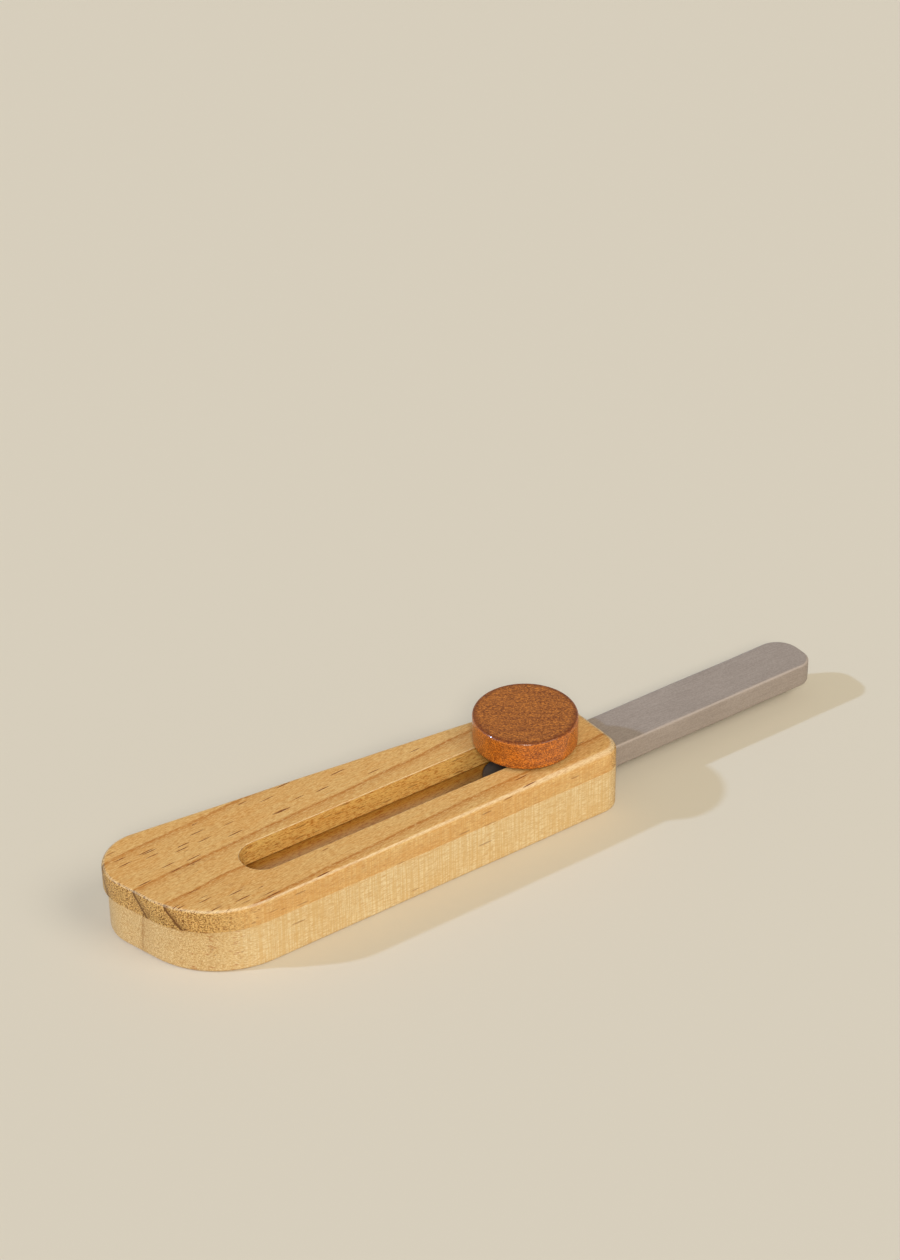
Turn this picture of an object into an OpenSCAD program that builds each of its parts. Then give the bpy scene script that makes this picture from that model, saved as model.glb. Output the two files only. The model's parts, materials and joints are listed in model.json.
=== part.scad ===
// Toy retractable knife in wood: two glued boards make a flat, tapered housing.
// A painted wooden blade slides in a channel between them, moved by a round knob on top.
// Frame: +X towards the blade's tip, +Z up. The origin is on the underside,
// on the slide axis, half way along the housing. Lengths are in millimetres, angles in degrees.

/* [Housing] */
// Length of the housing along the slide axis
body_len = 144; // [136:1:160]
// Distance from the slide axis to the straight side
near_w = 17.4; // [16:0.1:20]
// Distance from the slide axis to the tapered side at the front end
far_w_front = 15; // [14.5:0.5:18]
// Distance from the slide axis to the tapered side at the rear end
far_w_rear = 30; // [26:0.5:32]
// Slant of the rear end, away from square
rear_slant = 17.5; // [10:0.5:20]
// Slant of the front end, away from square
front_slant = 2.2; // [0:0.1:6]
// Corner radius where the rear end meets the straight side
r_rear_near = 27; // [20:1:28]
// Corner radius where the rear end meets the tapered side
r_rear_far = 13; // [8:0.5:14]
// Corner radius of the front end, both sides
r_front = 6.5; // [4:0.5:8]
// Thickness of the lower board
lower_t = 14.2; // [14:0.1:16]
// Thickness of the upper board
upper_t = 7.1; // [6:0.1:9]
// How far the lower board's rear end sits inside the upper board's
rear_step = 1.2; // [0:0.1:1.5]
// How far the lower board's front end stands out past the upper board's
front_step = 0.1; // [0:0.1:1]
// Radius of the rounded edge around the top face
top_ease = 1.2; // [0.6:0.1:2]
// Radius of the rounded edge around the underside
base_ease = 1; // [0.4:0.1:1.5]

/* [Slot and channel] */
// Width of the slot that the peg runs in
slot_w = 12.7; // [12.5:0.1:14]
// Play between the blade and each side of its channel
channel_play = 0.25; // [0.2:0.05:0.5]
// Play between the blade and the channel's floor
floor_play = 0.25; // [0.2:0.05:0.4]
// Gap that is left between the peg and each end of the slot at the ends of the travel
stop_gap = 0.5; // [0.3:0.1:1]
// Gap between the blade's tail and the channel's rear end when the blade is drawn in
tail_gap = 1.5; // [1:0.1:3]

/* [Blade] */
// Width of the blade
blade_w = 16; // [15.8:0.1:17]
// Thickness of the blade
blade_t = 7.5; // [7:0.1:7.8]
// Length of the blade from its tail to its tip
blade_len = 114.8; // [100:0.1:118]
// Height of the blade's underside above the housing's underside
blade_z = 5.7; // [5.5:0.1:6]
// Radius of the tail's two corners, nearly half of the blade's width
r_tail = 7.8; // [5:0.1:7.8]
// Radius of the tip's corner on the tapered side of the housing
r_tip_far = 7.5; // [5:0.5:7.5]
// Radius of the tip's corner on the straight side of the housing
r_tip_near = 5.5; // [3:0.5:7.5]
// Radius of the blade's rounded edges
blade_ease = 0.7; // [0.4:0.1:1.2]

/* [Knob and peg] */
// Diameter of the knob
knob_d = 30; // [26:1:32]
// Thickness of the knob
knob_t = 8.8; // [8:0.1:10]
// Radius of the knob's rounded rims
knob_ease = 0.7; // [0.4:0.1:1.5]
// Air gap between the knob and the housing's top face
knob_gap = 0.8; // [0.5:0.1:1.5]
// How far the knob sits off the peg's centre, towards the tapered side
knob_off = 0.8; // [0:0.1:1.2]
// Diameter of the peg
peg_d = 12; // [11:0.1:12]
// Position of the peg's centre along the slide axis with the blade fully out
peg_x = 50.5; // [45:0.5:51]
// Distance from the blade's tail to the peg's centre
peg_from_tail = 13.5; // [12:0.5:15]
// How deep the peg is glued into the blade, and into the knob
peg_seat = 5; // [4:0.1:5.5]
// Diametral room for glue around the peg in its two holes
glue_room = 0.1; // [0.05:0.05:0.2]
// Distance that the knob travels from blade out to blade in
travel = 88; // [70:1:88]

/* [Hidden] */
$fn = 96;

pine_low = "#e3be80";
pine_top = "#d8ae6c";
paint_grey = "#948a86";
stain_brown = "#a2602f";

arc_steps = 12;       // straight pieces in each rounded corner of an outline
ease_step = 30;       // angle between the rings that round an edge
seam_ease = 0.15;     // rounding of the two edges that meet at the seam
cut = 1;              // how far a cutter reaches past the surface it opens
peg_chamfer = 0.5;    // chamfer at the peg's two ends

top_z = lower_t + upper_t;
knob_z = top_z + knob_gap;
channel_z = blade_z - floor_play;
channel_r = blade_w / 2 + channel_play;
slot_r = slot_w / 2;
peg_r = peg_d / 2;
hole_r = (peg_d + glue_room) / 2;
tail_x = peg_x - peg_from_tail;
tip_x = tail_x + blade_len;
slot_front_x = peg_x + stop_gap - (slot_r - peg_r);
slot_rear_x = peg_x - travel - stop_gap + (slot_r - peg_r);
channel_rear_x = tail_x - travel - tail_gap + channel_r;
peg_z = blade_z + blade_t - peg_seat;
peg_len = knob_z + peg_seat - peg_z;

// The housing's tapered side follows y = far_mid - taper * x
taper = (far_w_rear - far_w_front) / body_len;
far_mid = (far_w_rear + far_w_front) / 2;

// Where the tapered side meets an end that crosses the slide axis at x, slanted by angle
function far_corner(x, angle) =
    let (y = (far_mid - taper * x) / (1 - taper * tan(angle)))
    [x - y * tan(angle), y];
function near_corner(x, angle) = [x + near_w * tan(angle), -near_w];

// A board's four corners before rounding, anticlockwise from the rear end's straight side.
// Its two ends cross the slide axis at rear_x and front_x.
function board_corners(rear_x, front_x) = [
    near_corner(rear_x, rear_slant),
    near_corner(front_x, front_slant),
    far_corner(front_x, front_slant),
    far_corner(rear_x, rear_slant)
];
upper_corners = board_corners(-body_len / 2, body_len / 2);
lower_corners = board_corners(-body_len / 2 + rear_step, body_len / 2 + front_step);
board_radii = [r_rear_near, r_front, r_front, r_rear_far];

blade_corners = [
    [tail_x, -blade_w / 2],
    [tip_x, -blade_w / 2],
    [tip_x, blade_w / 2],
    [tail_x, blade_w / 2]
];
blade_radii = [r_tail, r_tip_near, r_tip_far, r_tail];

function unit(v) = v / norm(v);

// Points on the arc that rounds corner b, from the side of a to the side of c.
// An inset moves the arc inward, about the same centre.
function corner_arc(a, b, c, r, inset) =
    let (
        to_a = unit(a - b),
        to_c = unit(c - b),
        half = acos(to_a * to_c) / 2,
        inward = unit(to_a + to_c),
        centre = b + inward * r / sin(half),
        sweep = 180 - 2 * half,
        outward_angle = atan2(-inward.y, -inward.x)
    )
    [for (i = [0 : arc_steps])
        let (angle = outward_angle + sweep * (i / arc_steps - 0.5))
        centre + (r - inset) * [cos(angle), sin(angle)]];

function rounded(corners, radii, inset = 0) =
    let (n = len(corners))
    [for (i = [0 : n - 1])
        each corner_arc(corners[(i + n - 1) % n], corners[i], corners[(i + 1) % n], radii[i], inset)];

// A flat plate from z0 to z1 whose edges are rounded by ease0 below and ease1 above
module eased_plate(corners, radii, z0, z1, ease0, ease1) {
    straight_z0 = z0 + ease0;
    straight_z1 = z1 - ease1;
    hull()
        for (angle = [0 : ease_step : 90]) {
            low = ease0 * (1 - sin(angle));
            high = ease1 * (1 - sin(angle));
            translate([0, 0, z0 + low])
                linear_extrude(straight_z1 - z0 - low)
                    polygon(rounded(corners, radii, ease0 * (1 - cos(angle))));
            translate([0, 0, straight_z0])
                linear_extrude(z1 - high - straight_z0)
                    polygon(rounded(corners, radii, ease1 * (1 - cos(angle))));
        }
}

// Lower half of the housing, with the blade's channel cut in its top and open at the front
module lower_board() {
    color(pine_low)
    difference() {
        eased_plate(lower_corners, board_radii, 0, lower_t, base_ease, seam_ease);
        translate([channel_rear_x, 0, channel_z])
            cylinder(r = channel_r, h = lower_t - channel_z + cut);
        translate([channel_rear_x, -channel_r, channel_z])
            cube([body_len - channel_rear_x, 2 * channel_r, lower_t - channel_z + cut]);
    }
}

// Upper half of the housing, with the peg's slot cut right through
module upper_board() {
    color(pine_top)
    difference() {
        eased_plate(upper_corners, board_radii, lower_t, top_z, seam_ease, top_ease);
        translate([0, 0, lower_t - cut]) {
            for (x = [slot_rear_x, slot_front_x])
                translate([x, 0, 0])
                    cylinder(r = slot_r, h = upper_t + 2 * cut);
            translate([slot_rear_x, -slot_r, 0])
                cube([slot_front_x - slot_rear_x, slot_w, upper_t + 2 * cut]);
        }
    }
}

// Blunt sliding blade with a round tail and a blind hole for the peg
module blade() {
    color(paint_grey)
    difference() {
        eased_plate(blade_corners, blade_radii, blade_z, blade_z + blade_t, blade_ease, blade_ease);
        translate([peg_x, 0, peg_z])
            cylinder(r = hole_r, h = peg_seat + cut);
    }
}

// Round peg that joins the blade to the knob through the slot
module slide_peg() {
    color(paint_grey)
    translate([peg_x, 0, peg_z])
        rotate_extrude()
            polygon([
                [0, 0],
                [peg_r - peg_chamfer, 0],
                [peg_r, peg_chamfer],
                [peg_r, peg_len - peg_chamfer],
                [peg_r - peg_chamfer, peg_len],
                [0, peg_len]
            ]);
}

// Disc that the thumb pushes, with a blind hole for the peg in its underside
module knob() {
    knob_r = knob_d / 2;
    color(stain_brown)
    translate([peg_x, 0, knob_z])
        difference() {
            translate([0, knob_off, 0])
                rotate_extrude() {
                    square([knob_r - knob_ease, knob_t]);
                    translate([0, knob_ease])
                        square([knob_r, knob_t - 2 * knob_ease]);
                    for (z = [knob_ease, knob_t - knob_ease])
                        translate([knob_r - knob_ease, z])
                            circle(r = knob_ease);
                }
            translate([0, 0, -cut])
                cylinder(r = hole_r, h = peg_seat + cut);
        }
}

lower_board();
upper_board();
blade();
slide_peg();
knob();
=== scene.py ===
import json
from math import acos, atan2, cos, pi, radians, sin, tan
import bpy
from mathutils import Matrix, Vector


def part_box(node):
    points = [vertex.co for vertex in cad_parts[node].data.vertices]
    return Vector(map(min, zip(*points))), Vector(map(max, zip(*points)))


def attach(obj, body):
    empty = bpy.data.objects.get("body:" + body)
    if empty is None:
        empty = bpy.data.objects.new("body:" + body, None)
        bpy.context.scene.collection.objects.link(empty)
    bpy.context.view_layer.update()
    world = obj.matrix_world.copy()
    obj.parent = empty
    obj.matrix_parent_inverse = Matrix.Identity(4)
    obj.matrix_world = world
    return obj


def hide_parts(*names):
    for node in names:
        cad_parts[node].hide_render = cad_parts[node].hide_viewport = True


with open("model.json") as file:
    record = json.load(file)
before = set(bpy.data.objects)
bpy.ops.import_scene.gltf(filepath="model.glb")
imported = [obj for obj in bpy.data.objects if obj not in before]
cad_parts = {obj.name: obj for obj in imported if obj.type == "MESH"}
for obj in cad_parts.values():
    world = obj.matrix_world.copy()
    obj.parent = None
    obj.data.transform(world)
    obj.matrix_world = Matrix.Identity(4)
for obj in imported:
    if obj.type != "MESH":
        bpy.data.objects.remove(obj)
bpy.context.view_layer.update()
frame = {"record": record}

# A wooden toy shaped like a retractable knife. Two pine boards, glued face to face, make the
# housing. The painted blade, its peg and the stained thumb knob slide along it together.
# "Near" is the straight side of the housing, towards -Y, and "far" is the tapered side.

from types import SimpleNamespace

import bmesh
import bpy
import numpy as np
from mathutils import Euler, Vector, noise

MM = 0.001

# ---------------------------------------------------------------- sizes, in millimetres
UPPER_LO, UPPER_HI = (np.array(p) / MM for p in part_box("upper_board"))
LOWER_LO, LOWER_HI = (np.array(p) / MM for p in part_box("lower_board"))
BLADE_LO, BLADE_HI = (np.array(p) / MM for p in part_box("blade"))
PEG_LO, PEG_HI = (np.array(p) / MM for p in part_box("slide_peg"))
KNOB_LO, KNOB_HI = (np.array(p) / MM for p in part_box("knob"))
TRAVEL = -frame["record"]["behaviour"]["joints"][0]["range_m"][0] / MM

# The housing's outline
BODY_LEN = 144.0                # along the slide axis
NEAR_W = -UPPER_LO[1]           # slide axis to the straight side
FAR_FRONT = 15.0                # slide axis to the tapered side, front end
FAR_REAR = 30.0                 # the same at the rear end
REAR_SLANT = radians(17.5)      # how far the rear end is from square to the slide axis
FRONT_SLANT = radians(2.2)      # the same for the front end
BOARD_RADII = (27.0, 6.5, 6.5, 13.0)    # corners: rear near, front near, front far, rear far
REAR_STEP = 1.2                 # the lower board's rear end sits inside the upper board's
FRONT_STEP = 0.1                # its front end stands out past the upper board's

# The slot, the channel, the blade, the peg and the knob
SLOT_R = 6.35
STOP_GAP = 0.5                  # from the peg to the slot's end, at either end of the travel
CHANNEL_R = 8.25
FLOOR_GAP = 0.25                # room under the blade
CHANNEL_Z = BLADE_LO[2] - FLOOR_GAP
TAIL_GAP = 1.5                  # from the blade's tail, drawn in, to the channel's rear end
BLADE_RADII = (7.8, 5.5, 7.5, 7.8)      # corners in the order of BOARD_RADII
PEG_R = (PEG_HI[0] - PEG_LO[0]) / 2
PEG_X = (PEG_HI[0] + PEG_LO[0]) / 2
GLUE_GAP = 0.05
HOLE_R = PEG_R + GLUE_GAP
HOLE_DEPTH = 5.0
KNOB_R = (KNOB_HI[1] - KNOB_LO[1]) / 2
KNOB_Y = (KNOB_HI[1] + KNOB_LO[1]) / 2

# The radius that rounds each edge, and how much sanding by hand changes it along the edge
TOP_EASE, TOP_WAVER = 1.1, 0.3
BASE_EASE, BASE_WAVER = 1.0, 0.15
SEAM_EASE, SEAM_WAVER = 0.14, 0.07
BLADE_EASE, BLADE_WAVER = 0.9, 0.2
KNOB_EASE, KNOB_WAVER = 0.8, 0.15
KNOB_BASE_EASE = 0.6
SLOT_EASE = 0.45
CHANNEL_EASE = 0.3
PEG_EASE = 0.5
CORNER_EASE = 1.4               # added to the top's rounding at the near front corner
CORNER_REACH = 40.0             # how far from that corner the added rounding dies away
WAVER_PER_MM = 0.05             # how fast the rounding changes along an edge

# The meshes
EASE_STEPS = 6                  # flat strips in a rounded edge
SUPPORT = 0.5                   # from a rounded edge to the ring that keeps the face beside it flat
PEG_SIDES = 64
KNOB_SIDES = 144
UNDIVIDED = 2 * BODY_LEN        # a side step that is longer than any side
CUT_PAST = 2.0                  # how far a cutter reaches past the face that it opens
CUT_MARGIN = 0.1                # how near to a cut's wall or floor an edge counts as on it
SHARP = radians(50)             # edges with more of a turn than this are eased after a cut


# ---------------------------------------------------------------- camera, light and floor
def srgb(r, g, b):
    """A colour given as 0-255 display values, as the linear colour that nodes take."""
    linear = []
    for c in (r / 255, g / 255, b / 255):
        linear.append(c / 12.92 if c <= 0.04045 else ((c + 0.055) / 1.055) ** 2.4)
    return (*linear, 1.0)


def add_camera():
    """A camera that looks along +Y, turned right by yaw and down by pitch."""
    data = bpy.data.cameras.new("camera")
    data.sensor_width = 36.0
    data.lens = 86.7
    data.clip_end = 20.0
    camera = bpy.data.objects.new("camera", data)
    camera.location = (-0.3623, -0.5577, 0.5286)
    yaw, pitch, roll = radians(34.74), radians(34.06), radians(-0.53)
    turn = Euler((0, 0, -yaw)).to_matrix()
    turn = turn @ Euler((pi / 2 - pitch, 0, 0)).to_matrix()
    turn = turn @ Euler((0, 0, roll)).to_matrix()
    camera.rotation_euler = turn.to_euler()
    bpy.context.scene.collection.objects.link(camera)
    bpy.context.scene.camera = camera


def add_world():
    """Pale near the horizon, as a paper backdrop is, and dimmer overhead."""
    world = bpy.data.worlds.new("studio")
    bpy.context.scene.world = world
    world.use_nodes = True
    tree = world.node_tree
    direction = add_node(tree, "ShaderNodeTexCoord").outputs["Generated"]
    share = remap(tree, axes_of(tree, direction)["Z"], 0.10, 0.38)
    colour = mix(tree, share, (0.74, 0.71, 0.63, 1), (0.315, 0.295, 0.235, 1))
    tree.links.new(colour, tree.nodes["Background"].inputs["Color"])


def add_sun(name, energy, colour, direction, spread):
    """Parallel light that shines along direction, spread over a disk of sky, in degrees."""
    data = bpy.data.lights.new(name, "SUN")
    data.energy = energy
    data.color = colour
    data.angle = radians(spread)
    sun = bpy.data.objects.new(name, data)
    sun.rotation_euler = Vector(direction).to_track_quat("-Z", "Y").to_euler()
    bpy.context.scene.collection.objects.link(sun)


def add_lights():
    """A cool key light from the far rear, and two softer, warm fills from the near side."""
    add_sun("key", 1.52, (0.45, 0.64, 1.0), (0.728, -0.380, -0.578), 2.0)
    add_sun("front_fill", 1.75, (1.0, 0.94, 0.84), (0.43, 0.66, -0.62), 16.0)
    add_sun("side_fill", 0.85, (1.0, 0.95, 0.86), (-0.30, 0.60, -0.74), 32.0)


def add_floor():
    """A wide floor in the backdrop's colour. It isn't part of the object."""
    half = 15.0
    corners = [(-half, -half, 0), (half, -half, 0), (half, half, 0), (-half, half, 0)]
    mesh = bpy.data.meshes.new("floor")
    mesh.from_pydata(corners, [], [(0, 1, 2, 3)])
    floor = bpy.data.objects.new("floor", mesh)
    bpy.context.scene.collection.objects.link(floor)
    material = bpy.data.materials.new("floor")
    material.use_nodes = True
    shader = material.node_tree.nodes["Principled BSDF"]
    shader.inputs["Base Color"].default_value = srgb(214, 205, 188)
    shader.inputs["Roughness"].default_value = 0.9
    shader.inputs["Specular IOR Level"].default_value = 0.1
    mesh.materials.append(material)


# ---------------------------------------------------------------- outlines
def crossing(p, d, q, e):
    """Where the line through p along d meets the line through q along e."""
    along = np.linalg.solve(np.array([[d[0], -e[0]], [d[1], -e[1]]]), q - p)
    return p + along[0] * d


def board_corners(rear_x, front_x):
    """A board's corners before rounding. Its ends cross the slide axis at rear_x and front_x."""
    near, far = np.array([1.0, 0.0]), np.array([1.0, (FAR_FRONT - FAR_REAR) / BODY_LEN])
    rear, front = np.array([-tan(REAR_SLANT), 1.0]), np.array([-tan(FRONT_SLANT), 1.0])
    near_at, far_at = np.array([0.0, -NEAR_W]), np.array([0.0, (FAR_FRONT + FAR_REAR) / 2])
    rear_at, front_at = np.array([rear_x, 0.0]), np.array([front_x, 0.0])
    return [
        crossing(near_at, near, rear_at, rear),
        crossing(near_at, near, front_at, front),
        crossing(far_at, far, front_at, front),
        crossing(far_at, far, rear_at, rear),
    ]


def box_corners(x0, x1, half):
    """The corners of a rectangle that lies along the slide axis, in the order of board_corners."""
    return [np.array(p) for p in ((x0, -half), (x1, -half), (x1, half), (x0, half))]


def fill_side(points, normals, end, normal, step):
    """Adds evenly spaced points on the straight from the last point towards end."""
    start = points[-1]
    pieces = max(1, int(np.linalg.norm(end - start) / step))
    for k in range(1, pieces):
        points.append(start + (end - start) * k / pieces)
        normals.append(normal)


def rounded_outline(corners, radii, arc_step=radians(4), side_step=2.5):
    """Points and outward normals, anticlockwise, of a polygon with rounded corners."""
    points, normals = [], []
    count = len(corners)
    for i in range(count):
        a, b, c = corners[i - 1], corners[i], corners[(i + 1) % count]
        to_a, to_c = (a - b) / np.linalg.norm(a - b), (c - b) / np.linalg.norm(c - b)
        half = acos(float(to_a @ to_c)) / 2
        inward = (to_a + to_c) / np.linalg.norm(to_a + to_c)
        centre = b + inward * radii[i] / sin(half)
        sweep = pi - 2 * half
        middle = atan2(-inward[1], -inward[0])
        steps = max(6, int(sweep / arc_step))
        turns = middle + sweep * (np.arange(steps + 1) / steps - 0.5)
        arc = [np.array([cos(turn), sin(turn)]) for turn in turns]
        if points:
            fill_side(points, normals, centre + radii[i] * arc[0], arc[0], side_step)
        for normal in arc:
            points.append(centre + radii[i] * normal)
            normals.append(normal)
    fill_side(points, normals, points[0], normals[0], side_step)
    return np.array(points), np.array(normals)


def circle_outline(x, y, r, count):
    """Points and outward normals, anticlockwise, of a circle."""
    turn = 2 * pi * np.arange(count) / count
    normals = np.column_stack([np.cos(turn), np.sin(turn)])
    return np.array([x, y]) + r * normals, normals


# ---------------------------------------------------------------- mesh building
def ring(outline, inset, z):
    """The outline at height z, moved in by inset. Each is one number or one for each point."""
    points, normals = outline
    inset = np.broadcast_to(np.asarray(inset, float), len(points))
    z = np.broadcast_to(np.asarray(z, float), len(points))
    return np.column_stack([points - normals * inset[:, None], z])


def edge_rings(outline, face_z, ease, up):
    """Rings that round the edge between a side wall and a flat face at face_z, wall first.

    ease is the rounding's radius, one number or one for each point. up is 1 for a top edge
    and -1 for a bottom one. A ring on each side of the rounding keeps the shading flat there.
    """
    ease = np.broadcast_to(np.asarray(ease, float), len(outline[0]))
    rings = [ring(outline, 0, face_z - up * (ease + SUPPORT))]
    for k in range(EASE_STEPS + 1):
        turn = pi / 2 * k / EASE_STEPS
        rings.append(ring(outline, ease * (1 - cos(turn)), face_z - up * ease * (1 - sin(turn))))
    rings.append(ring(outline, ease + SUPPORT, face_z))
    return rings


def solid_from_rings(name, rings):
    """A closed mesh from rings of equal length, in millimetres, each joined to the next."""
    count = len(rings[0])
    verts = [tuple(v * MM) for r in rings for v in r]
    faces = []
    for k in range(len(rings) - 1):
        low, high = k * count, (k + 1) * count
        for i in range(count):
            j = (i + 1) % count
            faces.append((low + i, low + j, high + j, high + i))
    faces.append(tuple(reversed(range(count))))
    faces.append(tuple(range((len(rings) - 1) * count, len(rings) * count)))
    mesh = bpy.data.meshes.new(name)
    mesh.from_pydata(verts, [], faces)
    mesh.validate()
    obj = bpy.data.objects.new(name, mesh)
    bpy.context.scene.collection.objects.link(obj)
    return obj


def plate(name, outline, z0, z1, ease0, ease1):
    """A flat plate between z0 and z1 with rounded edges."""
    bottom = edge_rings(outline, z0, ease0, -1)
    top = edge_rings(outline, z1, ease1, 1)
    return solid_from_rings(name, bottom[::-1] + top)


def prism(outline, z0, z1):
    """A cutter with straight walls and sharp edges."""
    return solid_from_rings("cutter", [ring(outline, 0, z0), ring(outline, 0, z1)])


def slot_cutter(x0, x1, r, z0, z1):
    """A cutter for a slot whose ends are round about x0 and x1."""
    nearly_r = r * 0.999    # keeps the two arcs of a round end from sharing a point
    outline = rounded_outline(
        box_corners(x0 - r, x1 + r, r), (nearly_r,) * 4, arc_step=radians(5), side_step=UNDIVIDED
    )
    return prism(outline, z0, z1)


def cut_away(obj, cutter):
    """Removes cutter's volume from obj, and deletes cutter."""
    modifier = obj.modifiers.new("cut", "BOOLEAN")
    modifier.operation = "DIFFERENCE"
    modifier.solver = "EXACT"
    modifier.object = cutter
    graph = bpy.context.evaluated_depsgraph_get()
    mesh = bpy.data.meshes.new_from_object(obj.evaluated_get(graph))
    obj.modifiers.clear()
    obj.data = mesh
    mesh.name = obj.name
    bpy.data.objects.remove(cutter)


def ease_cut_edges(obj, width, half, floor_z):
    """Rounds a cut's sharp edges: those within half of the slide axis and above the cut's floor."""
    bm = bmesh.new()
    bm.from_mesh(obj.data)
    sharp = []
    for edge in bm.edges:
        if len(edge.link_faces) != 2 or edge.calc_face_angle(0) < SHARP:
            continue
        middle = (edge.verts[0].co + edge.verts[1].co) / 2 / MM
        if abs(middle.y) < half + CUT_MARGIN and middle.z > floor_z + CUT_MARGIN:
            sharp.append(edge)
    bmesh.ops.bevel(
        bm, geom=sharp, offset=width * MM, segments=3, profile=0.5, affect="EDGES", clamp_overlap=True
    )
    bm.to_mesh(obj.data)
    bm.free()


def finish_piece(obj, node, body, material):
    """Shades the piece smoothly, gives it its material, parents it to its body's empty and hides the CAD
    part that it stands in for.
    """
    obj.data.materials.clear()
    obj.data.materials.append(material)
    obj.data.polygons.foreach_set("use_smooth", [True] * len(obj.data.polygons))
    weighted = obj.modifiers.new("flat faces stay flat", "WEIGHTED_NORMAL")
    weighted.weight = 60
    weighted.keep_sharp = True
    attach(obj, body)
    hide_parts(node)


def hand_sanded(points, size, seed):
    """Small changes along an edge, as sanding by hand leaves, between about -size and size."""
    places = [Vector((x * WAVER_PER_MM, y * WAVER_PER_MM, seed)) for x, y in points]
    return np.array([size * noise.noise(place) for place in places])


# ---------------------------------------------------------------- pieces
def make_upper_board(material):
    """The upper half of the housing, with the slot cut right through."""
    outline = rounded_outline(board_corners(-BODY_LEN / 2, BODY_LEN / 2), BOARD_RADII)
    points = outline[0]
    reach = np.linalg.norm(points - np.array([BODY_LEN / 2, -NEAR_W]), axis=1)
    corner = CORNER_EASE * np.exp(-(reach / CORNER_REACH) ** 2)
    ease = TOP_EASE + corner + hand_sanded(points, TOP_WAVER, seed=3.0)
    seam = SEAM_EASE + hand_sanded(points, SEAM_WAVER, seed=9.0)
    board = plate("upper_board_wood", outline, UPPER_LO[2], UPPER_HI[2], seam, ease)
    front = PEG_X + STOP_GAP - (SLOT_R - PEG_R)
    rear = PEG_X - TRAVEL - STOP_GAP + (SLOT_R - PEG_R)
    cut_away(board, slot_cutter(rear, front, SLOT_R, UPPER_LO[2] - CUT_PAST, UPPER_HI[2] + CUT_PAST))
    ease_cut_edges(board, SLOT_EASE, SLOT_R, UPPER_LO[2] - CUT_PAST)
    finish_piece(board, "upper_board", "housing", material)


def make_lower_board(material):
    """The lower half of the housing, with the blade's channel, which is open at the front."""
    corners = board_corners(REAR_STEP - BODY_LEN / 2, FRONT_STEP + BODY_LEN / 2)
    outline = rounded_outline(corners, BOARD_RADII)
    ease = BASE_EASE + hand_sanded(outline[0], BASE_WAVER, seed=5.0)
    seam = SEAM_EASE + hand_sanded(outline[0], SEAM_WAVER, seed=12.0)
    board = plate("lower_board_wood", outline, LOWER_LO[2], LOWER_HI[2], ease, seam)
    rear = BLADE_LO[0] - TRAVEL - TAIL_GAP + CHANNEL_R
    cut_away(board, slot_cutter(rear, BODY_LEN, CHANNEL_R, CHANNEL_Z, LOWER_HI[2] + CUT_PAST))
    ease_cut_edges(board, CHANNEL_EASE, CHANNEL_R, CHANNEL_Z)
    finish_piece(board, "lower_board", "housing", material)


def make_blade(material):
    """The blunt blade, with a blind hole for the peg in its top."""
    outline = rounded_outline(box_corners(BLADE_LO[0], BLADE_HI[0], BLADE_HI[1]), BLADE_RADII, side_step=3.0)
    ease = BLADE_EASE + hand_sanded(outline[0], BLADE_WAVER, seed=20.0)
    blade = plate("blade_painted", outline, BLADE_LO[2], BLADE_HI[2], ease, ease)
    hole = circle_outline(PEG_X, 0, HOLE_R, PEG_SIDES)
    cut_away(blade, prism(hole, BLADE_HI[2] - HOLE_DEPTH, BLADE_HI[2] + CUT_PAST))
    finish_piece(blade, "blade", "slider", material)


def make_peg(material):
    """The peg that joins the blade to the knob through the slot."""
    outline = circle_outline(PEG_X, 0, PEG_R, PEG_SIDES)
    peg = plate("peg_painted", outline, PEG_LO[2], PEG_HI[2], PEG_EASE, PEG_EASE)
    finish_piece(peg, "slide_peg", "slider", material)


def make_knob(material):
    """The round knob, one run of rings from the floor of its blind hole, down and round to its top."""
    disc = circle_outline(PEG_X, KNOB_Y, KNOB_R, KNOB_SIDES)
    hole = circle_outline(PEG_X, 0, HOLE_R, KNOB_SIDES)
    ease = KNOB_EASE + hand_sanded(disc[0], KNOB_WAVER, seed=31.0)
    rings = [ring(hole, 0, KNOB_LO[2] + HOLE_DEPTH), ring(hole, 0, KNOB_LO[2])]
    rings += edge_rings(disc, KNOB_LO[2], KNOB_BASE_EASE, -1)[::-1]
    rings += edge_rings(disc, KNOB_HI[2], ease, 1)
    knob = solid_from_rings("knob_stained", rings)
    finish_piece(knob, "knob", "slider", material)


# ---------------------------------------------------------------- material nodes
def set_or_link(tree, socket, value):
    """Gives a socket a value, or links it when the value is another node's socket."""
    if isinstance(value, bpy.types.NodeSocket):
        tree.links.new(value, socket)
    else:
        socket.default_value = value


def add_node(tree, kind, inputs=None, **settings):
    """A new node. An input is a value, or a socket to link from."""
    node = tree.nodes.new(kind)
    for key, value in settings.items():
        setattr(node, key, value)
    for key, value in (inputs or {}).items():
        set_or_link(tree, node.inputs[key], value)
    return node


def maths(tree, operation, a, b=0.0):
    return add_node(tree, "ShaderNodeMath", {0: a, 1: b}, operation=operation).outputs[0]


def times(tree, product, *factors):
    """All the values multiplied together."""
    for factor in factors:
        product = maths(tree, "MULTIPLY", product, factor)
    return product


def plus_weighted(tree, total, terms):
    """total, plus each value of the (value, weight) terms times its weight."""
    for value, weight in terms:
        total = maths(tree, "ADD", total, times(tree, value, weight))
    return total


def remap(tree, value, low, high, to_low=0.0, to_high=1.0):
    """value, moved from the range low..high to the range to_low..to_high and kept within it."""
    inputs = {"Value": value, "From Min": low, "From Max": high, "To Min": to_low, "To Max": to_high}
    return add_node(tree, "ShaderNodeMapRange", inputs).outputs["Result"]


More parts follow.
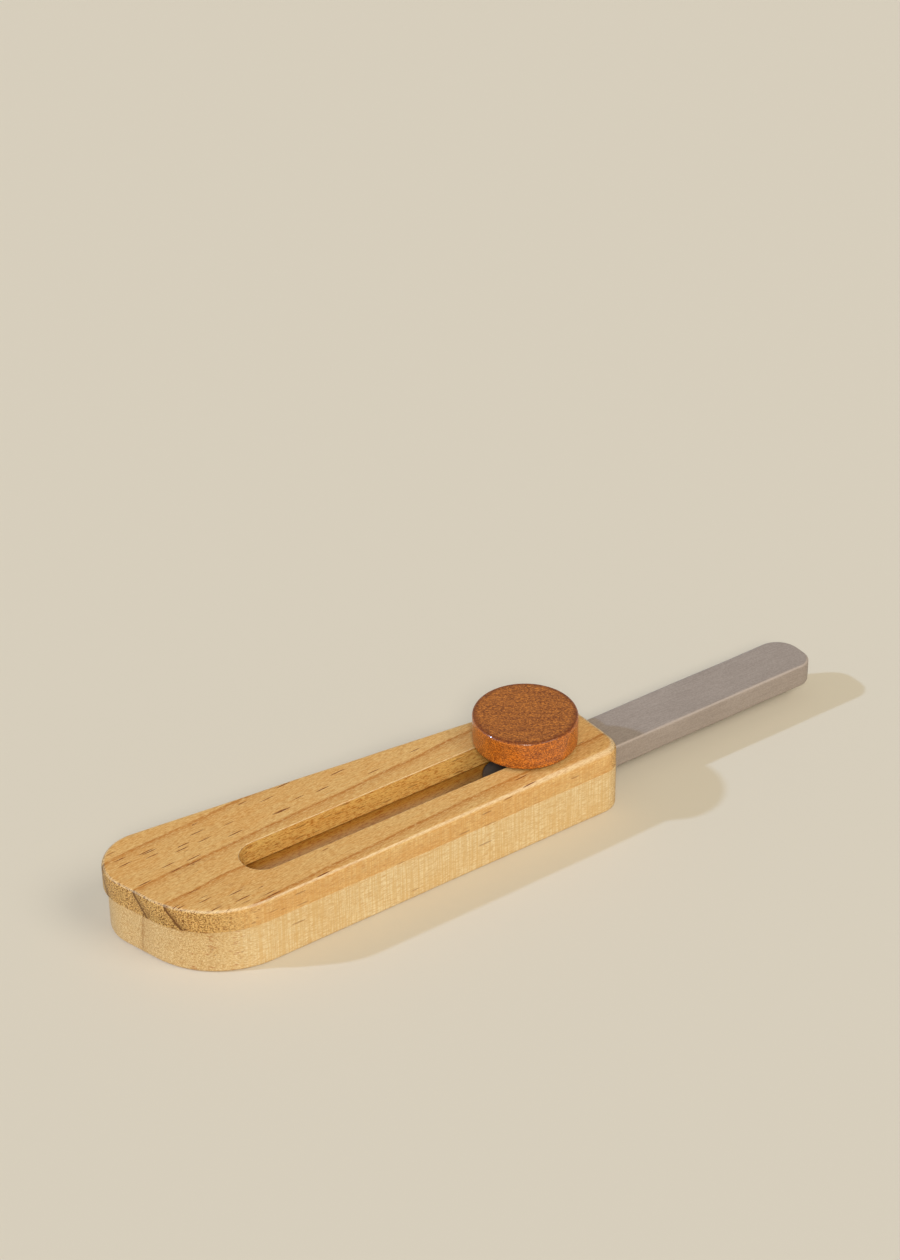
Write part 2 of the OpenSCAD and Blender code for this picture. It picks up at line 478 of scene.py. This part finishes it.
def mix(tree, factor, a, b, blend="MIX"):
    """The colour a where factor is 0, and b, or a blended with b, where it is 1."""
    return add_node(
        tree, "ShaderNodeMix", {0: factor, 6: a, 7: b}, data_type="RGBA", blend_type=blend
    ).outputs[2]


def axes_of(tree, vector):
    """A vector's X, Y and Z, as the outputs of one node."""
    return add_node(tree, "ShaderNodeSeparateXYZ", {0: vector}).outputs


def vector_maths(tree, operation, a, b):
    return add_node(tree, "ShaderNodeVectorMath", {0: a, 1: b}, operation=operation).outputs[0]


def stretched(tree, coords, scale, turn=0.0):
    """Coordinates in millimetres, turned about Z and then scaled along each axis."""
    if turn:
        inputs = {"Vector": coords, "Angle": turn}
        coords = add_node(tree, "ShaderNodeVectorRotate", inputs, rotation_type="Z_AXIS").outputs[0]
    return vector_maths(tree, "MULTIPLY", coords, scale)


def noise_at(tree, coords, scale, detail, roughness, turn=0.0):
    """Noise between 0 and 1. scale is its changes per millimetre along each axis."""
    vector = stretched(tree, coords, scale, turn)
    inputs = {"Vector": vector, "Scale": 1.0, "Detail": detail, "Roughness": roughness}
    return add_node(tree, "ShaderNodeTexNoise", inputs).outputs["Fac"]


def start_material(name):
    """A new material, its node tree, its shader and its coordinates in millimetres."""
    material = bpy.data.materials.new(name)
    material.use_nodes = True
    tree = material.node_tree
    place = add_node(tree, "ShaderNodeTexCoord").outputs["Object"]
    inputs = {0: place, "Scale": 1 / MM}
    coords = add_node(tree, "ShaderNodeVectorMath", inputs, operation="SCALE").outputs[0]
    return material, tree, tree.nodes["Principled BSDF"], coords


def normal_axes(tree):
    """The X, Y and Z of the way that the surface faces."""
    return axes_of(tree, add_node(tree, "ShaderNodeNewGeometry").outputs["Normal"])


def facing_side(tree, normal):
    """1 where the surface faces sideways, and 0 where it faces up or down."""
    return remap(tree, maths(tree, "ABSOLUTE", normal["Z"]), 0.8, 0.35)


def facing_end(tree, normal):
    """1 where the surface faces along X, either way."""
    return remap(tree, maths(tree, "ABSOLUTE", normal["X"]), 0.12, 0.70)


def top_edge_wear_and_highlight(tree, normal):
    """Above 0 on the rounding of a top edge, where pale edge wear and a painted highlight go, and strongest
    on the near and front sides, where the light glints.
    """
    rounding = times(tree, remap(tree, normal["Z"], 0.985, 0.90), remap(tree, normal["Z"], 0.40, 0.70))
    towards_near = maths(tree, "SUBTRACT", times(tree, normal["X"], 0.6), normal["Y"])
    return times(tree, rounding, remap(tree, towards_near, -0.1, 0.4, 0.45, 1.0))


def inside_box(tree, coords, low, high):
    """1 inside the box from low to high, and 0 outside it."""
    axes = axes_of(tree, coords)
    tests = []
    for axis, least, most in zip("XYZ", low, high):
        tests.append(maths(tree, "GREATER_THAN", axes[axis], least))
        tests.append(maths(tree, "LESS_THAN", axes[axis], most))
    return times(tree, *tests)


def add_bump(tree, shader, heights, distance):
    """Links a bump made of the sum of (height, weight) pairs."""
    total = plus_weighted(tree, 0.0, heights)
    bump = add_node(tree, "ShaderNodeBump", {"Height": total, "Strength": 1.0, "Distance": distance})
    tree.links.new(bump.outputs[0], shader.inputs["Normal"])


# ---------------------------------------------------------------- pine
# How fast each pattern changes along the grain, across it and in depth, per millimetre
WANDER_SCALE = (0.022, 0.035, 0.035)
RIPPLE_SCALE = (0.12, 0.3, 0.3)
CLOUD_SCALE = (0.045, 0.11, 0.11)
FIBRE_SCALE = (0.12, 2.0, 2.0)
PORE_SCALE = (0.6, 3.0, 3.0)
CHATTER_SCALE = (3.2, 3.2, 0.06)
RESIN_GROUP_SCALE = (0.03, 0.12, 0.12)
RESIN_SCALE = (0.13, 1.9, 1.2)
FLECK_SCALE = (0.32, 0.32, 1.9)

EARLY_WOOD = 0.22       # how dark the wood between two growth rings is, from 0 to 1


def growth_rings(tree, across, span, lines):
    """How dark the growth rings make the wood, from 0 to 1. across is the place, in millimetres.

    lines are (place, strength, width): the wood darkens slowly over the width up to each line,
    quickly just before it, and is palest just after it.
    """
    low, high = span
    ramp_node = add_node(tree, "ShaderNodeValToRGB", {0: remap(tree, across, low, high)})
    stops = [(high, 0.0)]
    for place, strength, width in lines:
        stops += [
            (place - width, EARLY_WOOD),
            (place - 0.7, EARLY_WOOD + (strength - EARLY_WOOD) * 0.40),
            (place - 0.25, strength),
            (place + 0.10, strength),
            (place + 0.50, 0.05),
            (place + 1.60, EARLY_WOOD * 0.7),
        ]
    elements = ramp_node.color_ramp.elements
    elements.remove(elements[1])
    elements[0].color = (EARLY_WOOD, EARLY_WOOD, EARLY_WOOD, 1)
    for place, value in stops:
        elements.new((place - low) / (high - low)).color = (value, value, value, 1)
    return add_node(tree, "ShaderNodeSeparateColor", {0: ramp_node.outputs["Color"]}).outputs[0]


def board_rings(tree, coords, spec):
    """The growth rings of a board, from one field that runs right through it."""
    turn = -spec["grain_turn"]
    axes = axes_of(tree, coords)
    wander = maths(tree, "SUBTRACT", noise_at(tree, coords, WANDER_SCALE, 2.0, 0.5, turn), 0.5)
    ripple = maths(tree, "SUBTRACT", noise_at(tree, coords, RIPPLE_SCALE, 2.0, 0.5, turn), 0.5)
    terms = [
        (axes["X"], -tan(spec["grain_turn"])),
        (axes["Z"], spec["ring_tilt"]),
        (wander, spec["wander"]),
        (ripple, 0.8),
    ]
    across = plus_weighted(tree, axes["Y"], terms)
    return growth_rings(tree, across, spec["span"], spec["lines"])


def resin_share(tree, coords, hollow, spec):
    """The share of cells with a resin canal. They come in groups, and more of them to the rear."""
    groups = noise_at(tree, coords, RESIN_GROUP_SCALE, 1.0, 0.5, -spec["grain_turn"])
    rearward = remap(tree, axes_of(tree, coords)["X"], -25.0, -60.0, 0.6, 1.0)
    grouped = times(tree, remap(tree, groups, 0.45, 0.62), times(tree, rearward, spec["resin_share"]))
    return plus_weighted(tree, grouped, [(hollow, spec["resin_share"] * 0.4)])


def resin_streaks(tree, coords, turn, share, seed):
    """Above 0 inside short resin canals that run along the grain, in the given share of cells."""
    vector = stretched(tree, coords, RESIN_SCALE, turn)
    vector = vector_maths(tree, "ADD", vector, (seed, seed * 1.7, 0))
    cell = add_node(tree, "ShaderNodeTexVoronoi", {"Vector": vector, "Scale": 1.0, "Randomness": 1.0})
    near = remap(tree, cell.outputs["Distance"], 0.36, 0.28)
    picks = add_node(tree, "ShaderNodeSeparateColor", {0: cell.outputs["Color"]}).outputs
    chosen = maths(tree, "LESS_THAN", picks[0], share)
    return times(tree, near, chosen, remap(tree, picks[1], 0.0, 1.0, 0.7, 1.0))


def flecks(tree, coords):
    """1 inside small flat flecks, where resin canals come out of the rear corner."""
    vector = stretched(tree, coords, FLECK_SCALE)
    cell = add_node(tree, "ShaderNodeTexVoronoi", {"Vector": vector, "Scale": 1.0})
    near = remap(tree, cell.outputs["Distance"], 0.32, 0.18)
    pick = add_node(tree, "ShaderNodeSeparateColor", {0: cell.outputs["Color"]}).outputs[1]
    axes = axes_of(tree, coords)
    corner = times(tree, remap(tree, axes["X"], -44, -52), remap(tree, axes["Y"], -4, -8))
    return times(tree, near, maths(tree, "LESS_THAN", pick, 0.4), corner)


def pine_fields(tree, coords, spec):
    """The patterns and places, each from 0 to 1, that make a board's colour and bump."""
    turn = -spec["grain_turn"]
    normal = normal_axes(tree)
    hollow = inside_box(tree, coords, *spec["hollow"])
    outside = maths(tree, "SUBTRACT", 1.0, hollow)
    side = facing_side(tree, normal)
    end = times(tree, facing_end(tree, normal), outside)
    long_side = times(tree, maths(tree, "SUBTRACT", side, end), outside)
    chatter = remap(tree, noise_at(tree, coords, CHATTER_SCALE, 1.0, 0.6), 0.44, 0.58)
    share = resin_share(tree, coords, hollow, spec)
    return SimpleNamespace(
        rings=board_rings(tree, coords, spec),
        side=side,
        end=end,
        edge=top_edge_wear_and_highlight(tree, normal),
        hollow=hollow,
        clouds=remap(tree, noise_at(tree, coords, CLOUD_SCALE, 3.0, 0.6, turn), 0.35, 0.68),
        fibres=noise_at(tree, coords, FIBRE_SCALE, 3.0, 0.65, turn),
        pores=noise_at(tree, coords, PORE_SCALE, 2.0, 0.8, turn),
        chatter=times(tree, chatter, long_side),
        resin=resin_streaks(tree, coords, turn, share, spec["seed"]),
        flecks=flecks(tree, coords),
    )


def ring_colour(tree, fields, spec):
    """The rings' colour on the top, with its own tint on the sides and the ends."""
    colour = mix(tree, fields.rings, spec["pale"], spec["dark"])
    colour = mix(tree, times(tree, fields.side, spec["side_mix"]), colour, spec["side"])
    return mix(tree, times(tree, fields.end, spec["end_mix"]), colour, spec["end"])


def with_grain(tree, colour, fields, spec):
    """The colour with warm clouds and fibres, dark pores and pale wood between the pores."""
    pores = fields.pores
    colour = mix(tree, times(tree, fields.clouds, 0.40), colour, spec["warm"])
    colour = mix(tree, remap(tree, fields.fibres, 0.42, 0.72, 0.0, 0.50), colour, spec["warm"])
    strength = maths(tree, "ADD", spec["pore_mix"], times(tree, fields.hollow, 0.4))
    colour = mix(tree, times(tree, remap(tree, pores, 0.50, 0.63), strength), colour, spec["pore"])
    return mix(tree, remap(tree, pores, 0.48, 0.36, 0.0, spec["pore_mix"]), colour, spec["glow"])


def with_end_grain(tree, colour, fields, spec):
    """The colour with the dark pores, late wood and ring lines that show on the ends."""
    for mark in (
        remap(tree, fields.pores, 0.49, 0.58, 0.0, spec["end_pores"]),
        remap(tree, fields.rings, 0.24, 0.56, 0.0, spec["end_rings"] * 0.5),
        remap(tree, fields.rings, 0.60, 0.90, 0.0, spec["end_rings"] * 0.9),
    ):
        colour = mix(tree, times(tree, mark, fields.end), colour, spec["end_dark"])
    return colour


def with_wear(tree, colour, fields, spec):
    """The colour with the saw's chatter on the long sides, and pale top edges that are partly edge wear and
    partly a painted highlight.
    """
    colour = mix(tree, times(tree, fields.chatter, spec["chatter"]), colour, spec["scored"])
    worn_and_highlit = times(tree, fields.edge, remap(tree, fields.pores, 0.62, 0.45, 0.65, 1.0))
    return mix(tree, times(tree, worn_and_highlit, spec["edge_wear_and_highlight_mix"]), colour, spec["edge"])


def with_resin(tree, colour, fields, spec):
    """The colour with dark resin canals, fainter on the sides, and flecks at the rear corner."""
    on_top = remap(tree, fields.side, 0.0, 1.0, 1.0, 0.5)
    colour = mix(tree, times(tree, fields.resin, on_top), colour, spec["resin"])
    return mix(tree, times(tree, fields.flecks, spec["fleck_mix"]), colour, spec["fleck"])


def pine(name, spec):
    """Pine for one board, built up in layers from the growth rings to the resin."""
    material, tree, shader, coords = start_material(name)
    fields = pine_fields(tree, coords, spec)
    colour = ring_colour(tree, fields, spec)
    colour = with_grain(tree, colour, fields, spec)
    colour = with_end_grain(tree, colour, fields, spec)
    # Painted light and shade: the upper board's slot walls are brightened, and the lower board's channel
    # walls and floor are darkened and warmed.
    colour = mix(tree, fields.hollow, colour, spec["hollow_light_and_shade"], "MULTIPLY")
    colour = with_wear(tree, colour, fields, spec)
    colour = with_resin(tree, colour, fields, spec)
    tree.links.new(colour, shader.inputs["Base Color"])
    tree.links.new(remap(tree, fields.fibres, 0.2, 0.8, 0.36, 0.50), shader.inputs["Roughness"])
    shader.inputs["Specular IOR Level"].default_value = 0.3
    heights = [(fields.fibres, 1.0), (fields.pores, -0.3), (fields.chatter, 0.6), (fields.resin, -0.6)]
    add_bump(tree, shader, heights, 0.00005)
    return material


# For each board: how the grain and the rings run, the rings' places, strengths and widths in
# millimetres, the colours of the wood, and how strongly each is mixed in. The edge colour is that of
# the pale top edges, partly wear and partly a painted highlight. hollow is the box that holds the
# walls of the slot or the channel. Their colour is multiplied by a colour that paints light on the
# upper board's slot walls, which it brightens, and shade on the lower board's channel, which it
# darkens and warms.
UPPER_PINE = dict(
    grain_turn=radians(3.4), ring_tilt=-0.66, wander=2.6, span=(-50.0, 40.0), seed=3.0,
    lines=[(-41.0, 0.9, 6.0), (-27.5, 1.0, 3.0), (-12.8, 1.0, 2.8), (-2.8, 1.0, 3.0), (12.0, 1.0, 2.8)],
    pale=srgb(222, 182, 116), dark=srgb(166, 100, 34), warm=srgb(208, 144, 68),
    pore=srgb(170, 104, 36), glow=srgb(240, 206, 142), pore_mix=0.44,
    side=srgb(222, 190, 132), side_mix=0.8, chatter=0.6, scored=srgb(206, 154, 86),
    end=srgb(188, 144, 54), end_mix=0.6, end_dark=srgb(98, 58, 14), end_rings=0.95, end_pores=0.95,
    edge=srgb(250, 240, 208), edge_wear_and_highlight_mix=0.34,
    hollow_light_and_shade=srgb(270, 262, 224), hollow=((-60.0, -6.6, 0.0), (64.0, 6.6, 21.0)),
    resin=srgb(108, 44, 0), fleck=srgb(150, 84, 28), resin_share=0.30, fleck_mix=0.35,
)
LOWER_PINE = dict(
    grain_turn=radians(1.0), ring_tilt=0.1, wander=2.0, span=(-45.0, 45.0), seed=11.0,
    lines=[(-26.0, 0.5, 9.0), (-10.0, 0.5, 8.0), (7.7, 1.0, 5.0), (22.0, 0.5, 8.0), (34.0, 0.5, 8.0)],
    pale=srgb(228, 202, 152), dark=srgb(182, 136, 76), warm=srgb(212, 170, 106),
    pore=srgb(190, 140, 76), glow=srgb(240, 220, 176), pore_mix=0.5,
    side=srgb(232, 214, 172), side_mix=0.65, chatter=0.65, scored=srgb(210, 172, 112),
    end=srgb(202, 166, 104), end_mix=0.7, end_dark=srgb(150, 100, 44), end_rings=0.35, end_pores=0.4,
    edge=srgb(232, 208, 162), edge_wear_and_highlight_mix=0.2,
    hollow_light_and_shade=srgb(200, 160, 90), hollow=((-54.0, -8.4, 5.3), (71.0, 8.4, 14.19)),
    resin=srgb(120, 56, 10), fleck=srgb(164, 92, 38), resin_share=0.08, fleck_mix=0.75,
)


# ---------------------------------------------------------------- stained and painted wood
STREAK_SCALE = (0.09, 0.9, 0.9)
GRIT_SCALE = (1.6, 3.8, 3.8)
PAINT_CLOUD_SCALE = (0.05, 0.12, 0.12)
PAINT_GRAIN_SCALE = (0.12, 2.2, 2.2)
PAINT_SPECK_SCALE = (1.6, 2.4, 2.4)
RIM_OUTER, RIM_INNER = 0.7, 1.9         # from the knob's side to where its dark rim is full, and ends
TAIL_SHADE_START, TAIL_SHADE_FULL = 9.0, -1.0       # from the peg's middle, where the painted shade on the blade's tail, under the knob, starts and is full


def knob_rim(tree, coords, side):
    """1 on the flat faces just inside the knob's rounded edge."""
    centred = vector_maths(tree, "ADD", coords, (-PEG_X, -KNOB_Y, 0))
    flat = vector_maths(tree, "MULTIPLY", centred, (1, 1, 0))
    radius = add_node(tree, "ShaderNodeVectorMath", {0: flat}, operation="LENGTH").outputs["Value"]
    rim = remap(tree, radius, KNOB_R - RIM_INNER, KNOB_R - RIM_OUTER)
    return times(tree, rim, maths(tree, "SUBTRACT", 1.0, side))


def stained_wood():
    """Orange-brown stain under thin varnish, with dark streaks, coarse grit and a darker rim."""
    material, tree, shader, coords = start_material("stained_wood")
    turn = radians(35)
    side = facing_side(tree, normal_axes(tree))
    colour = mix(tree, side, srgb(170, 100, 40), srgb(214, 118, 32))
    streaks = noise_at(tree, coords, STREAK_SCALE, 3.0, 0.6, turn)
    colour = mix(tree, remap(tree, streaks, 0.40, 0.62, 0.0, 0.62), colour, srgb(128, 66, 30))
    grit = noise_at(tree, coords, GRIT_SCALE, 2.0, 0.85, turn)
    colour = mix(tree, remap(tree, grit, 0.49, 0.58, 0.0, 0.85), colour, srgb(100, 48, 16))
    colour = mix(tree, remap(tree, grit, 0.47, 0.37, 0.0, 0.75), colour, srgb(222, 138, 54))
    colour = mix(tree, times(tree, knob_rim(tree, coords, side), 0.6), colour, srgb(92, 34, 14))
    tree.links.new(colour, shader.inputs["Base Color"])
    tree.links.new(remap(tree, grit, 0.3, 0.7, 0.30, 0.45), shader.inputs["Roughness"])
    shader.inputs["Specular IOR Level"].default_value = 0.2
    shader.inputs["Coat Weight"].default_value = 0.5
    shader.inputs["Coat Roughness"].default_value = 0.12
    add_bump(tree, shader, [(grit, -1.0), (streaks, 0.5)], 0.00004)
    return material


def scaled_colour(colour, share):
    """A linear colour made darker or lighter."""
    return tuple(c * share for c in colour[:3]) + (1.0,)


def grey_paint(name, pale, dark):
    """Thin matt paint that lets the wood's grain show through faintly, with a painted highlight on its top
    edges and painted shade on the blade's tail, where the knob shades it.
    """
    material, tree, shader, coords = start_material(name)
    clouds = noise_at(tree, coords, PAINT_CLOUD_SCALE, 3.0, 0.6)
    colour = mix(tree, remap(tree, clouds, 0.35, 0.65), dark, pale)
    grain = noise_at(tree, coords, PAINT_GRAIN_SCALE, 3.0, 0.6)
    colour = mix(tree, remap(tree, grain, 0.44, 0.66, 0.0, 0.55), colour, scaled_colour(dark, 0.82))
    specks = noise_at(tree, coords, PAINT_SPECK_SCALE, 2.0, 0.8)
    colour = mix(tree, remap(tree, specks, 0.50, 0.62, 0.0, 0.45), colour, scaled_colour(dark, 0.78))
    colour = mix(tree, remap(tree, specks, 0.48, 0.36, 0.0, 0.40), colour, scaled_colour(pale, 1.15))
    # Painted highlight: the rounded top edges, most on the near and front sides, are mixed towards a paler
    # grey.
    edge = top_edge_wear_and_highlight(tree, normal_axes(tree))
    colour = mix(tree, times(tree, edge, 0.45), colour, scaled_colour(pale, 1.5))
    # Painted shade: towards the tail, which lies in the knob's shadow, the paint is mixed towards a dark
    # grey.
    along = axes_of(tree, coords)["X"]
    tail_shade = remap(tree, along, PEG_X + TAIL_SHADE_START, PEG_X + TAIL_SHADE_FULL, 0.0, 0.8)
    colour = mix(tree, tail_shade, colour, srgb(72, 70, 72))
    tree.links.new(colour, shader.inputs["Base Color"])
    tree.links.new(remap(tree, grain, 0.3, 0.7, 0.42, 0.52), shader.inputs["Roughness"])
    shader.inputs["Specular IOR Level"].default_value = 0.3
    add_bump(tree, shader, [(grain, 1.0)], 0.00003)
    return material


# ---------------------------------------------------------------- the scene
bpy.context.scene.view_settings.view_transform = "Standard"
add_camera()
add_world()
add_lights()
add_floor()
make_lower_board(pine("pine_lower", LOWER_PINE))
make_upper_board(pine("pine_upper", UPPER_PINE))
make_blade(grey_paint("grey_paint", srgb(161, 148, 139), srgb(153, 140, 131)))
# The peg's paint is a darker copy of the blade's grey: painted shade, for the shadow under the knob.
make_peg(grey_paint("grey_paint_peg_painted_shade", srgb(80, 77, 78), srgb(70, 68, 69)))
make_knob(stained_wood())

bpy.context.view_layer.update()
